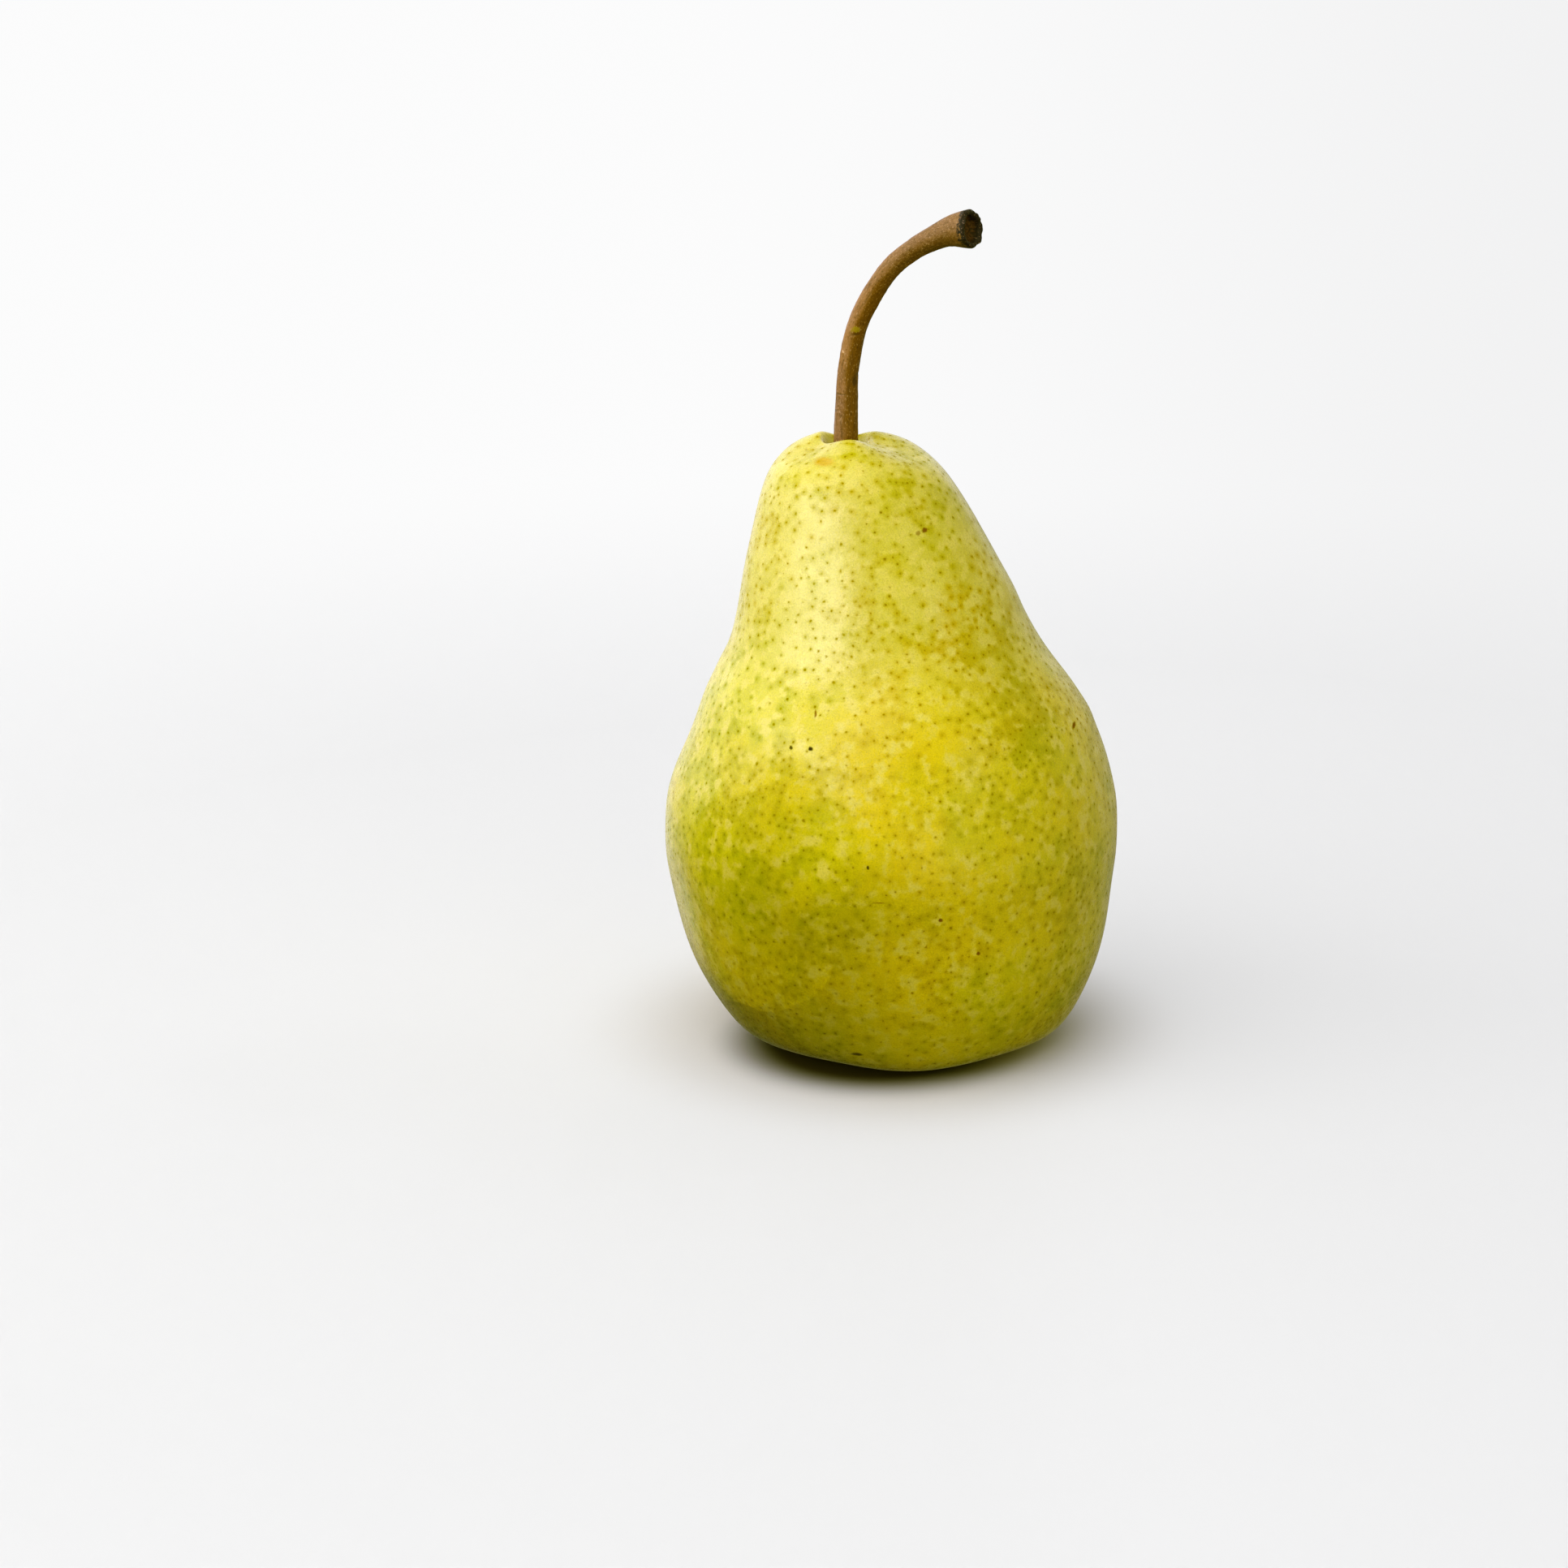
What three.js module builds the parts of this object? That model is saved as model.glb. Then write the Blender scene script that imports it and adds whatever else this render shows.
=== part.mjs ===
// A whole ripe pear standing on its blossom end: the fruit, its long curved stalk and the dried calyx in its base.
// Millimetres, +Z up. It rests on Z = 0, its front faces -Y, its neck leans towards -X and its stalk bends to +X.
import * as THREE from "three";

const radians = THREE.MathUtils.degToRad;
const { lerp, smoothstep } = THREE.MathUtils;

// ---- The fruit's outline: half of a lengthwise section, from the calyx basin up and round into the stalk's socket ----
// Control points of a uniform cubic B-spline: [distance from the core line, height].
const BELLY_RADIUS = 33;
const SHOULDER_HEIGHT = 87.9; // the top of the flesh, round the stalk
const SOCKET_RADIUS = 2.3;
const SOCKET_FLOOR = 79;
const BASIN = [
  [0, 5.2],
  [3.6, 5.1],
  [7.2, 3.2],
];
const FLESH = [
  [13.8, -1],
  [23, 0.9],
  [26.6, 5.3],
  [30.4, 13],
  [31.6, 22],
  [BELLY_RADIUS, 31],
  [31.7, 39],
  [29, 46],
  [26.6, 52],
  [22.8, 57],
  [20.3, 63],
  [18.5, 69],
  [16.1, 75],
  [13.8, 81],
  [10.8, 85.6],
];
const CAVITY = [
  [4, SHOULDER_HEIGHT],
  [3.7, SHOULDER_HEIGHT - 0.5],
  [2.6, SHOULDER_HEIGHT - 2.4],
  [SOCKET_RADIUS, SHOULDER_HEIGHT - 4.6],
  [SOCKET_RADIUS, SOCKET_FLOOR + 1.6],
  [1.8, SOCKET_FLOOR + 0.1],
  [0, SOCKET_FLOOR],
];
const OUTLINE = [...BASIN, ...FLESH, ...CAVITY];

// The core line stands straight through the belly. Above NECK_START it curves over NECK_BEND and runs on leaning,
// and below the belly it swings back to +X by BASE_SWING.
const NECK_START = 47;
const NECK_BEND = 11;
const NECK_SLOPE = 0.172;
const NECK_TOWARDS = 172; // degrees round from +X
const BASE_SWING = 1.5;
const BASE_SWING_TOP = 28;

// The carpels swell the fruit into lobes, five round the calyx and three round the stalk.
const BASE_LOBES = { count: 5, depth: 0.35, facing: -86, fadeHeight: 10 };
const TOP_LOBES = { count: 3, depth: 0.6, facing: 33, fadeHeight: 8 };
// Slow swellings of the flesh over a band of heights. None is round.
const SWELLINGS = [
  { count: 5, depth: 0.3, facing: 18, middle: 14, spread: 14 },
  { count: 2, depth: 0.5, facing: 31, middle: 34, spread: 22 },
  { count: 1, depth: 0.4, facing: -12, middle: 45, spread: 6 },
  { count: 3, depth: 0.45, facing: 90, middle: 60, spread: 16 },
];

// ---- The stalk: its centre line rises from the socket and bends over in one upright plane ----
const STALK_FOOT = new THREE.Vector3(-6.8, 0.8, SOCKET_FLOOR + 1);
const STALK_TOWARDS = -33; // degrees round from +X
const STALK_LINE = [
  [0, 0], // [along that plane, up] from the foot
  [-0.05, 7],
  [-0.02, 12.7],
  [0.4, 18],
  [2.37, 25],
  [7.15, 31.85],
  [11.3, 35.1],
  [14.8, 36.85],
  [17.4, 37.85],
  [20.6, 38.35],
];
const STALK_RADIUS = 1.5;
const FOOT_RADIUS = 1.8; // it thickens towards the flesh
const KNOB_RADIUS = 2.72; // where it broke from the twig
const KNOB_REACH = 5; // how far back from its end the knob swells
const KNOB_HOLLOW = 0.9; // the sunken pith of the broken end

// ---- The calyx: five dried sepals pressed against the basin, round the stub of the flower's tube ----
const CLEARANCE = 0.3; // between the sepals and the flesh
const SEPALS = 5;
const SEPAL_REACH = 6.2; // from the core line to a sepal's tip
const SEPAL_NOTCH = 2.7; // from the core line to the gap between two sepals
const SEPAL_THICKNESS = 0.7;
const TUBE_RADIUS = 1.7;
const TUBE_HEIGHT = 0.8;

// ---- How finely the surfaces are cut ----
const FRUIT_SIDES = 72;
const FRUIT_RINGS = 56;
const STALK_SIDES = 18;
const STALK_RINGS = 42;
const CALYX_SIDES = 60;
const CALYX_RINGS = 7;

// ---- Closed surfaces through rings of points ----

function ringOf(sides, pointAt) {
  return Array.from({ length: sides }, (_, side) => pointAt((side / sides) * 2 * Math.PI));
}

// A closed mesh from a first pole through rings of equal count to a last pole.
// Seen from the last pole, each ring runs anticlockwise.
function closedSkin(firstPole, rings, lastPole) {
  const sides = rings[0].length;
  const points = [firstPole, ...rings.flat(), lastPole];
  const at = (ring, side) => 1 + ring * sides + (side % sides);
  const index = [];
  for (let side = 0; side < sides; side++) {
    index.push(0, at(0, side + 1), at(0, side));
    for (let ring = 0; ring + 1 < rings.length; ring++) {
      index.push(at(ring, side), at(ring, side + 1), at(ring + 1, side + 1));
      index.push(at(ring, side), at(ring + 1, side + 1), at(ring + 1, side));
    }
    index.push(points.length - 1, at(rings.length - 1, side), at(rings.length - 1, side + 1));
  }
  const geometry = new THREE.BufferGeometry().setFromPoints(points);
  geometry.setIndex(index);
  geometry.computeVertexNormals();
  return geometry;
}

// ---- The fruit ----

// A point of the outline, share of the way along it. At both ends it meets the core line square.
function onOutline(share) {
  const spans = OUTLINE.length - 1;
  const span = Math.min(Math.floor(share * spans), spans - 1);
  const u = share * spans - span;
  const mirrored = ([radius, height]) => [-radius, height];
  const control = (i) => {
    if (i < 0) return mirrored(OUTLINE[1]);
    return i > spans ? mirrored(OUTLINE[spans - 1]) : OUTLINE[i];
  };
  const weights = [(1 - u) ** 3, 3 * u ** 3 - 6 * u ** 2 + 4, -3 * u ** 3 + 3 * u ** 2 + 3 * u + 1, u ** 3];
  const blend = (axis) =>
    weights.reduce((sum, weight, i) => sum + (weight / 6) * control(span - 1 + i)[axis], 0);
  return { radius: blend(0), height: blend(1) };
}

// Where the core line passes at a height.
function core(height) {
  const above = Math.max(0, height - NECK_START);
  const lean = NECK_SLOPE * (above < NECK_BEND ? above ** 2 / (2 * NECK_BEND) : above - NECK_BEND / 2);
  const swing = BASE_SWING * (1 - smoothstep(height, -4, BASE_SWING_TOP));
  const towards = radians(NECK_TOWARDS);
  return new THREE.Vector3(lean * Math.cos(towards) + swing, lean * Math.sin(towards), 0);
}

const lobed = ({ count, depth, facing }, angle) => depth * Math.cos(count * (angle - radians(facing)));

function swellingAt(radius, height, angle) {
  const fade = smoothstep(radius, 0, BELLY_RADIUS / 2);
  const near = ({ middle, spread }) => Math.exp(-(((height - middle) / spread) ** 2));
  return fade * SWELLINGS.reduce((sum, swelling) => sum + near(swelling) * lobed(swelling, angle), 0);
}

// The lobes lift and lower the flesh round the calyx and round the stalk.
function lobeRise(radius, height, angle) {
  const underneath = smoothstep(radius, 3, 11) * (1 - smoothstep(height, 0, BASE_LOBES.fadeHeight));
  const onTop = smoothstep(radius, 2.2, 5) * (1 - smoothstep(radius, 8, 14))
    * smoothstep(height, SHOULDER_HEIGHT - TOP_LOBES.fadeHeight, SHOULDER_HEIGHT - 2);
  return onTop * lobed(TOP_LOBES, angle) - underneath * lobed(BASE_LOBES, angle);
}

// A point of the fruit's surface: share runs along the outline and angle goes round it.
function onFruit(share, angle) {
  const { radius, height } = onOutline(share);
  const out = radius + swellingAt(radius, height, angle);
  const roundStalk = (1 - smoothstep(radius, 2.5, 7)) * smoothstep(height, 60, SHOULDER_HEIGHT - 4);
  const centre = core(height).lerp(STALK_FOOT, roundStalk); // the cavity is centred on the stalk
  return new THREE.Vector3(
    centre.x + out * Math.cos(angle),
    centre.y + out * Math.sin(angle),
    Math.max(0, height + lobeRise(radius, height, angle)), // pressed flat where it rests
  );
}

function fruit() {
  const rings = Array.from({ length: FRUIT_RINGS - 1 }, (_, ring) =>
    ringOf(FRUIT_SIDES, (angle) => onFruit((ring + 1) / FRUIT_RINGS, angle)));
  return closedSkin(onFruit(0, 0), rings, onFruit(1, 0));
}

// ---- The stalk ----

function stalkLine() {
  const towards = radians(STALK_TOWARDS);
  return new THREE.CatmullRomCurve3(STALK_LINE.map(([along, up]) =>
    new THREE.Vector3(along * Math.cos(towards), along * Math.sin(towards), up).add(STALK_FOOT)));
}

function stalkRadius(fromFoot, fromKnob) {
  const foot = (FOOT_RADIUS - STALK_RADIUS) * (1 - smoothstep(fromFoot, 6, 22));
  const knob = (KNOB_RADIUS - STALK_RADIUS) * Math.exp(-((fromKnob / KNOB_REACH) ** 1.6));
  return STALK_RADIUS + foot + knob;
}

function stalk() {
  const line = stalkLine();
  const length = line.getLength();
  const frames = line.computeFrenetFrames(STALK_RINGS, false);
  const ring = (step, radius, sunk = 0) => {
    const middle = line.getPointAt(step / STALK_RINGS).addScaledVector(frames.tangents[step], -sunk);
    return ringOf(STALK_SIDES, (angle) => middle.clone()
      .addScaledVector(frames.normals[step], radius * Math.cos(angle))
      .addScaledVector(frames.binormals[step], radius * Math.sin(angle)));
  };
  const rings = Array.from({ length: STALK_RINGS + 1 }, (_, step) => {
    const fromFoot = (step / STALK_RINGS) * length;
    return ring(step, stalkRadius(fromFoot, length - fromFoot));
  });
  rings.push(ring(STALK_RINGS, 0.7 * KNOB_RADIUS));
  rings.push(ring(STALK_RINGS, 0.5 * KNOB_RADIUS, KNOB_HOLLOW));
  const pith = line.getPointAt(1).addScaledVector(frames.tangents[STALK_RINGS], -KNOB_HOLLOW);
  return closedSkin(line.getPointAt(0), rings, pith);
}

// ---- The calyx ----

// How far the calyx reaches from the core line at an angle: to a sepal's tip, or to the notch between two.
function sepalEdge(angle) {
  const offMidline = 2 * Math.abs(((angle * SEPALS) / (2 * Math.PI)) % 1 - 0.5);
  return lerp(SEPAL_REACH, SEPAL_NOTCH, offMidline ** 0.8);
}

// The height of the basin's surface at a distance from the core line.
function basinHeight(radius) {
  let low = 0;
  let high = BASIN.length / (OUTLINE.length - 1);
  while (high - low > 1e-6) {
    const middle = (low + high) / 2;
    if (onOutline(middle).radius < radius) low = middle;
    else high = middle;
  }
  return onOutline(low).height;
}

function calyx() {
  const point = (share, angle, below) => {
    const radius = share * sepalEdge(angle);
    const centre = core(basinHeight(radius));
    const depth = below(radius, share);
    return new THREE.Vector3(
      centre.x + radius * Math.cos(angle),
      centre.y + radius * Math.sin(angle),
      basinHeight(radius) - depth,
    );
  };
  const back = () => CLEARANCE;
  const face = (radius, share) => CLEARANCE + SEPAL_THICKNESS * (1 - 0.4 * share)
    + TUBE_HEIGHT * Math.exp(-(((radius - TUBE_RADIUS) / 0.7) ** 2));
  const shares = Array.from({ length: CALYX_RINGS }, (_, ring) => (ring + 1) / CALYX_RINGS);
  const rings = (below) => shares.map((share) => ringOf(CALYX_SIDES, (angle) => point(share, angle, below)));
  return closedSkin(point(0, 0, face), [...rings(face), ...rings(back).reverse()], point(0, 0, back));
}

// ---- Materials and the assembly ----

const skin = new THREE.MeshStandardMaterial({ color: 0xc9bd3c, roughness: 0.4, metalness: 0 });
const bark = new THREE.MeshStandardMaterial({ color: 0x7a5a30, roughness: 0.75, metalness: 0 });
const husk = new THREE.MeshStandardMaterial({ color: 0x3d2a17, roughness: 0.9, metalness: 0 });

function piece(name, geometry, material) {
  const mesh = new THREE.Mesh(geometry, material);
  mesh.name = name;
  return mesh;
}

const pear = new THREE.Group();
pear.add(piece("pear_fruit", fruit(), skin));
pear.add(piece("pear_stalk", stalk(), bark));
pear.add(piece("pear_calyx", calyx(), husk));

// The origin is on the ground, under the middle of the whole pear.
const middle = new THREE.Box3().setFromObject(pear).getCenter(new THREE.Vector3());
pear.position.set(-middle.x, -middle.y, 0);

export default pear;
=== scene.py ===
"""A whole ripe pear on a pale studio floor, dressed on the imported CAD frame.

It has freckled skin, a curved woody stalk and a dried calyx underneath.
"""
import math

import bmesh
import bpy
import numpy as np
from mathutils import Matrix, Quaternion, Vector, kdtree


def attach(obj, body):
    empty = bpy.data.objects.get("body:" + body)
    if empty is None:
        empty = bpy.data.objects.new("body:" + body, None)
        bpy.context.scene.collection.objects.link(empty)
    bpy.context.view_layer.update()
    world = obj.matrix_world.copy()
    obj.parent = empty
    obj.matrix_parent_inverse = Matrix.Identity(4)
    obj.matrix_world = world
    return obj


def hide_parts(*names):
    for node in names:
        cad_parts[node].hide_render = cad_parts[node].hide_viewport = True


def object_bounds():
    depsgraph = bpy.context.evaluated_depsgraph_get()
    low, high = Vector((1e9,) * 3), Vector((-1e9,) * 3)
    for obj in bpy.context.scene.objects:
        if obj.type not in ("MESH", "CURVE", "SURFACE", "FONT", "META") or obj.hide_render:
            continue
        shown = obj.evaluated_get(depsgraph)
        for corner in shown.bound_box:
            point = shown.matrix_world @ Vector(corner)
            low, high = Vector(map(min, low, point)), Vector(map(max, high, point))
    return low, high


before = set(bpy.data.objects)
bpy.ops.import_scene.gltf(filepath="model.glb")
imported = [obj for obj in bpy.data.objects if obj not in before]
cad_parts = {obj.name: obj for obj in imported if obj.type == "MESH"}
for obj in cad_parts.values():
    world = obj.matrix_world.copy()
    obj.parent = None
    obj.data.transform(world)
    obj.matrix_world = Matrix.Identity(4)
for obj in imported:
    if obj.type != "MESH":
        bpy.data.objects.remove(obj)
CAD_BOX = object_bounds()
MM = 0.001
SEED = 35  # for every random draw; each noise adds a number of its own to it

# ---- The pear's form, in millimetres, as in the part's own source ----
BELLY_RADIUS = 33
SHOULDER_HEIGHT = 87.9
# Control points of the outline, a uniform cubic B-spline: distance from the core line, and height.
BASIN = [(0, 5.2), (3.6, 5.1), (7.2, 3.2)]
FLESH = [
    (13.8, -1), (23, 0.9), (26.6, 5.3), (30.4, 13), (31.6, 22), (BELLY_RADIUS, 31), (31.7, 39), (29, 46),
    (26.6, 52), (22.8, 57), (20.3, 63), (18.5, 69), (16.1, 75), (13.8, 81), (10.8, 85.6),
]
# The finished flesh closes on the stalk, where the CAD solid keeps a clearance round it.
CAVITY = [
    (4, SHOULDER_HEIGHT), (3.5, SHOULDER_HEIGHT - 0.5), (2.2, SHOULDER_HEIGHT - 2.0),
    (1.5, SHOULDER_HEIGHT - 3.4), (0.9, SHOULDER_HEIGHT - 4.4), (0, SHOULDER_HEIGHT - 4.8),
]
# The core line: above its start the neck bends and leans, and below its top the base swings towards +X.
NECK_START, NECK_BEND, NECK_SLOPE, NECK_TOWARDS = 47, 11, 0.172, 172
BASE_SWING, BASE_SWING_TOP = 1.5, 28
# Soft lobes, as the carpels leave round the calyx and the stalk, and slow swellings over a band of heights.
BASE_LOBES = dict(count=5, depth=0.35, facing=-86, fade_height=10)
TOP_LOBES = dict(count=3, depth=0.6, facing=33, fade_height=8)
SWELLINGS = [
    dict(count=5, depth=0.3, facing=18, middle=14, spread=14),
    dict(count=2, depth=0.5, facing=31, middle=34, spread=22),
    dict(count=1, depth=0.4, facing=-12, middle=45, spread=6),
    dict(count=3, depth=0.45, facing=90, middle=60, spread=16),
]
STALK_FOOT = np.array([-6.8, 0.8, 80])
STALK_TOWARDS = -33  # the upright plane in which it bends, in degrees round from +X
STALK_LINE = [
    (0, 0), (-0.05, 7), (-0.02, 12.7), (0.4, 18), (2.37, 25), (7.15, 31.85), (11.3, 35.1), (14.8, 36.85),
    (17.4, 37.85), (20.6, 38.35),
]
STALK_RADIUS, FOOT_RADIUS, KNOB_RADIUS, KNOB_REACH = 1.5, 1.8, 2.72, 5

SHIFT = np.array([-0.00368, -0.07748, 0])  # puts the origin under the middle of the whole pear

# ---- How finely the shown surfaces are cut ----
SKIN_SIDES, SKIN_RINGS = 384, 232
STALK_SIDES, STALK_RINGS = 96, 520

NOISE_WAVES = 14  # how many waves each noise is the sum of


def smoothstep(x, low, high):
    t = np.clip((x - low) / (high - low), 0, 1)
    return t * t * (3 - 2 * t)


def value_noise(points, size, seed):
    """Smooth noise at each of the points, mostly from -1 to 1, with bumps about `size` across."""
    rng = np.random.default_rng(seed)
    total = np.zeros(len(points))
    for _ in range(NOISE_WAVES):
        wave = rng.normal(size=3)
        wave *= rng.uniform(0.6, 1.4) * math.pi / size / np.linalg.norm(wave)
        total += np.sin(points @ wave + rng.uniform(0, 2 * math.pi))
    return total / math.sqrt(NOISE_WAVES)


def search_tree(points):
    """A tree that finds the points near a place."""
    tree = kdtree.KDTree(len(points))
    for i, point in enumerate(points):
        tree.insert(point, i)
    tree.balance()
    return tree


# ---- The fruit's surface ----
def outline(share):
    """(radius, height) at each share of the way along the half section's cubic B-spline."""
    controls = np.array(BASIN + FLESH + CAVITY, float)
    mirror = np.array([-1, 1])
    padded = np.vstack([controls[1] * mirror, controls, controls[-2] * mirror])
    spans = len(controls) - 1
    span = np.minimum((share * spans).astype(int), spans - 1)
    u = (share * spans - span)[:, None]
    weights = [(1 - u) ** 3, 3 * u**3 - 6 * u**2 + 4, -3 * u**3 + 3 * u**2 + 3 * u + 1, u**3]
    point = sum(weight / 6 * padded[span + i] for i, weight in enumerate(weights))
    return point[:, 0], point[:, 1]


def core(height):
    """Where the core line passes at each height."""
    above = np.maximum(0, height - NECK_START)
    lean = NECK_SLOPE * np.where(above < NECK_BEND, above**2 / (2 * NECK_BEND), above - NECK_BEND / 2)
    swing = BASE_SWING * (1 - smoothstep(height, -4, BASE_SWING_TOP))
    towards = math.radians(NECK_TOWARDS)
    return lean * math.cos(towards) + swing, lean * math.sin(towards)


def lobed(lobes, angle):
    return lobes["depth"] * np.cos(lobes["count"] * (angle - math.radians(lobes["facing"])))


def on_fruit(share, angle):
    """The fruit's surface in millimetres, before the part is centred."""
    radius, height = outline(share)
    out = radius.copy()
    for swelling in SWELLINGS:
        near = np.exp(-(((height - swelling["middle"]) / swelling["spread"]) ** 2))
        out += smoothstep(radius, 0, BELLY_RADIUS / 2) * near * lobed(swelling, angle)
    underneath = smoothstep(radius, 3, 11) * (1 - smoothstep(height, 0, BASE_LOBES["fade_height"]))
    near_top = smoothstep(height, SHOULDER_HEIGHT - TOP_LOBES["fade_height"], SHOULDER_HEIGHT - 2)
    on_top = smoothstep(radius, 2.2, 5) * (1 - smoothstep(radius, 8, 14)) * near_top
    rise = on_top * lobed(TOP_LOBES, angle) - underneath * lobed(BASE_LOBES, angle)
    round_stalk = (1 - smoothstep(radius, 2.5, 7)) * smoothstep(height, 60, SHOULDER_HEIGHT - 4)
    x, y = core(height)
    x = x + (STALK_FOOT[0] - x) * round_stalk + out * np.cos(angle)
    y = y + (STALK_FOOT[1] - y) * round_stalk + out * np.sin(angle)
    return np.stack([x, y, np.maximum(0, height + rise)], axis=-1)


def closed_skin(rings, first_pole, last_pole):
    """Vertices and faces of a closed skin through rings of equal count, with a pole at each end."""
    count, sides = rings.shape[:2]
    vertices = np.vstack([first_pole[None], rings.reshape(-1, 3), last_pole[None]])
    at = 1 + np.arange(count)[:, None] * sides + np.arange(sides)[None]
    after = np.roll(at, -1, axis=1)
    quads = np.stack([at[:-1], after[:-1], after[1:], at[1:]], axis=-1).reshape(-1, 4)
    last = len(vertices) - 1
    triangles = [(0, b, a) for a, b in zip(at[0], after[0])]
    triangles += [(last, a, b) for a, b in zip(at[-1], after[-1])]
    return vertices, quads.tolist() + [tuple(map(int, corners)) for corners in triangles]


def make_piece(name, vertices, faces, node):
    """A smooth mesh piece, in metres, that stands for a CAD node."""
    mesh = bpy.data.meshes.new(name)
    mesh.from_pydata((vertices * MM).tolist(), [], faces)
    mesh.polygons.foreach_set("use_smooth", [True] * len(mesh.polygons))
    mesh.update()
    piece = bpy.data.objects.new(name, mesh)
    bpy.context.scene.collection.objects.link(piece)
    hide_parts(node)
    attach(piece, "root")
    return piece


def add_bake_map(mesh, along, sides):
    """The map that the colours are baked on: once round the piece across it, and from pole to pole up it.

    `along` says how far up the map each ring lies, from 0 at the first pole to 1 at the last.
    """
    left, low = np.meshgrid(np.arange(sides) / sides, along[:-1])
    high = np.repeat(along[1:, None], sides, axis=1)
    right = left + 1 / sides
    quads = np.stack([left, low, right, low, right, high, left, high], axis=-1)
    tip = left[0] + 0.5 / sides
    every = np.ones(sides)
    bottom = np.stack([tip, 0 * every, right[0], along[0] * every, left[0], along[0] * every], axis=-1)
    top = np.stack([tip, every, left[0], along[-1] * every, right[0], along[-1] * every], axis=-1)
    places = np.concatenate([quads.ravel(), bottom.ravel(), top.ravel()])
    mesh.uv_layers.new(name="OFBake").data.foreach_set("uv", places.astype(np.float32))


def add_attribute(mesh, name, kind, domain, values):
    """Values that a material reads, one for each point or face of the mesh."""
    field = {"FLOAT": "value", "FLOAT_VECTOR": "vector", "FLOAT_COLOR": "color"}[kind]
    attribute = mesh.attributes.new(name, kind, domain)
    attribute.data.foreach_set(field, np.asarray(values, np.float32).ravel())


# ---- Shader helpers ----
class Graph:
    """The node tree of a material or world, built by calls that return sockets."""

    def __init__(self, owner):
        owner.use_nodes = True
        self.owner = owner
        self.tree = owner.node_tree
        self.shader = self.tree.nodes.get("Principled BSDF")

    def node(self, kind, inputs=None, **settings):
        made = self.tree.nodes.new("ShaderNode" + kind)
        for key, value in settings.items():
            setattr(made, key, value)
        for key, value in (inputs or {}).items():
            self.feed(made.inputs[key], value)
        return made

    def feed(self, socket, value):
        if isinstance(value, bpy.types.NodeSocket):
            self.tree.links.new(value, socket)
        elif socket.type == "RGBA" and len(value) == 3:
            socket.default_value = (*value, 1)
        else:
            socket.default_value = value

    def math(self, operation, *values, clamp=False):
        return self.node("Math", dict(enumerate(values)), operation=operation, use_clamp=clamp).outputs[0]

    def vector(self, operation, *values):
        inputs = dict(enumerate(values)) if operation != "SCALE" else {0: values[0], "Scale": values[1]}
        made = self.node("VectorMath", inputs, operation=operation)
        return made.outputs["Value" if operation in ("DISTANCE", "LENGTH", "DOT_PRODUCT") else "Vector"]

    def ramp(self, value, low, high, to_low=0.0, to_high=1.0):
        inputs = {"Value": value, "From Min": low, "From Max": high, "To Min": to_low, "To Max": to_high}
        return self.node("MapRange", inputs, interpolation_type="SMOOTHSTEP").outputs[0]

    def noise(self, place, size, detail=2.0, roughness=0.5):
        inputs = {"Vector": place, "Scale": 1 / size, "Detail": detail, "Roughness": roughness}
        return self.node("TexNoise", inputs).outputs["Fac"]

    def bell(self, distance, sharpness=1.0):
        """1 at no distance, falling off round it as a bell curve does."""
        square = self.math("MULTIPLY", distance, distance)
        return self.math("EXPONENT", self.math("MULTIPLY", square, -sharpness))

    def spot(self, place, centre, reach):
        """A soft spot: 1 at its centre, falling off over its reach along each axis."""
        away = self.vector("DIVIDE", self.vector("SUBTRACT", place, centre), reach)
        return self.math("EXPONENT", self.math("MULTIPLY", self.vector("DOT_PRODUCT", away, away), -1.0))

    def mix(self, factor, a, b):
        made = self.node("Mix", data_type="RGBA")
        for i, value in ((0, factor), (6, a), (7, b)):
            self.feed(made.inputs[i], value)
        return made.outputs[2]

    def bump(self, relief, strength, depth):
        made = self.node("Bump", {"Strength": strength, "Distance": depth, "Height": relief})
        self.feed(self.shader.inputs["Normal"], made.outputs["Normal"])

    def attribute(self, name, output="Vector"):
        return self.node("Attribute", attribute_name=name).outputs[output]

    def place_mm(self):
        """The surface point in millimetres in the row frame."""
        point = self.node("TexCoord").outputs["Object"]
        return self.vector("SCALE", point, 1 / MM)


# ---- Skin ----
LENTICEL_SPACING = 1.12  # in millimetres
LENTICELS_TRIED, LENTICELS_KEPT = 30000, 0.80
DOT_RADIUS, HALO_RADIUS = (0.09, 0.15), (0.40, 0.72)  # the least and the most, in millimetres
NEAREST = 3  # how many lenticels each face draws


def scatter(vertices, faces, rng, spacing):
    """Points on the mesh, no two closer than about the spacing."""
    quads = np.array([face if len(face) == 4 else (*face, face[-1]) for face in faces])
    a, b, c, d = (vertices[quads[:, i]] for i in range(4))
    area = np.linalg.norm(np.cross(c - a, d - b), axis=1)
    chosen = rng.choice(len(quads), LENTICELS_TRIED, p=area / area.sum())
    u, v = rng.random((2, LENTICELS_TRIED, 1))
    points = (a[chosen] * (1 - u) + b[chosen] * u) * (1 - v) + (d[chosen] * (1 - u) + c[chosen] * u) * v
    keep_out = spacing * (1 + 0.28 * value_noise(points, 9, SEED + 1))
    tree = search_tree(points)
    free = np.ones(len(points), bool)
    kept = []
    for i, point in enumerate(points):
        if free[i]:
            kept.append(i)
            for _, j, _ in tree.find_range(point, keep_out[i]):
                free[j] = False
    return points[kept]


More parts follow.
